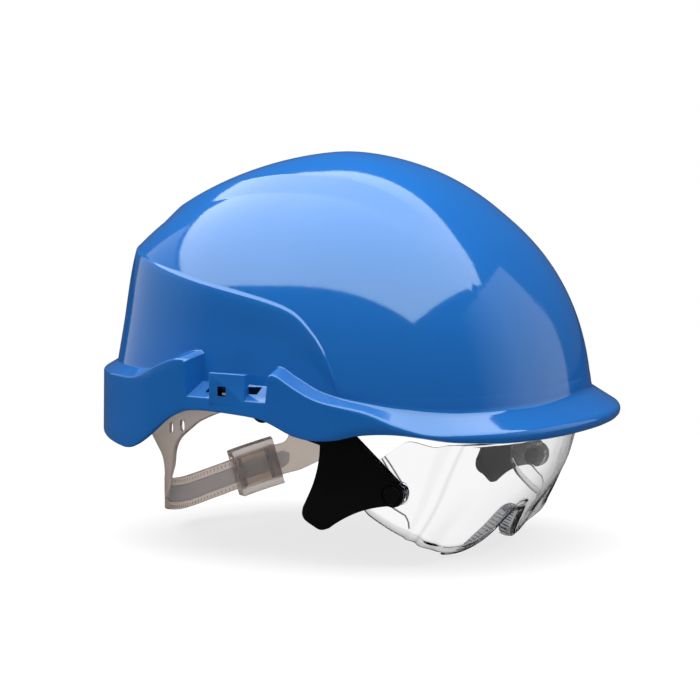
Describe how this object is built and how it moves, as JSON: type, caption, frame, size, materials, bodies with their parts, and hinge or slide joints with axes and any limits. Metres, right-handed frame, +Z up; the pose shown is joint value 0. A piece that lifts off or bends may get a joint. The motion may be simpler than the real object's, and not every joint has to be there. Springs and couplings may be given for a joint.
{
  "type": "safety helmet with eye shield",
  "caption": "Hard hat with a ribbed crown, side accessory slots, a clear eye shield that swings up into the shell on side arms, and a head harness with a sliding nape buckle.",
  "frame": {"origin": "middle of the head opening, on the middle plane of the helmet", "axes": "+X to the front, +Y to the wearer's left, +Z up to the crown"},
  "size_m": [0.2643, 0.2264, 0.1991],
  "materials": {
    "shell_blue": "gloss moulded",
    "arm_black": "satin moulded",
    "button_black": "gloss moulded",
    "washer_rubber": "matt",
    "harness_smoke": "translucent moulded",
    "sweat_fabric": "knit",
    "webbing": "woven",
    "lens_clear": "clear polished",
    "nose_clear": "clear moulded",
    "buckle_grey": "translucent moulded"
  },
  "bodies": {
    "helmet": {"shell": "shell_blue", "visor_mount_right": "arm_black", "visor_mount_left": "arm_black", "hinge_pin_right": "arm_black", "hinge_pin_left": "arm_black", "friction_washer_right": "washer_rubber", "friction_washer_left": "washer_rubber", "headband": "harness_smoke", "sweatband": "sweat_fabric", "headband_hangers": "harness_smoke", "anchor_clips": "arm_black", "crown_strap_right": "webbing", "crown_strap_left": "webbing", "crown_strap_centre": "webbing", "crown_patch": "webbing", "nape_strap_right": "harness_smoke", "nape_strap_left": "harness_smoke"},
    "carrier": {"carrier_arm_right": "arm_black", "carrier_arm_left": "arm_black", "lens_button_right": "button_black", "lens_button_left": "button_black"},
    "eye_shield": {"lens": "lens_clear", "nose_piece": "nose_clear"},
    "buckle": {"slide_buckle": "buckle_grey"}
  },
  "joints": [
    {"name": "shield_swing", "type": "hinge", "parent": "helmet", "child": "carrier", "pos_m": [0.014, 0, 0.028], "axis": [0, -1, 0], "range_deg": [0, 30]},
    {"name": "lens_tilt", "type": "hinge", "parent": "carrier", "child": "eye_shield", "pos_m": [0.0785, 0, -0.012], "axis": [0, -1, 0], "range_deg": [0, 5]},
    {"name": "buckle_slide", "type": "hinge", "parent": "helmet", "child": "buckle", "pos_m": [-0.01391, -0.01465, -0.02597], "axis": [-0.1859, -0.1978, 0.9625], "range_deg": [0, 8]}
  ]
}
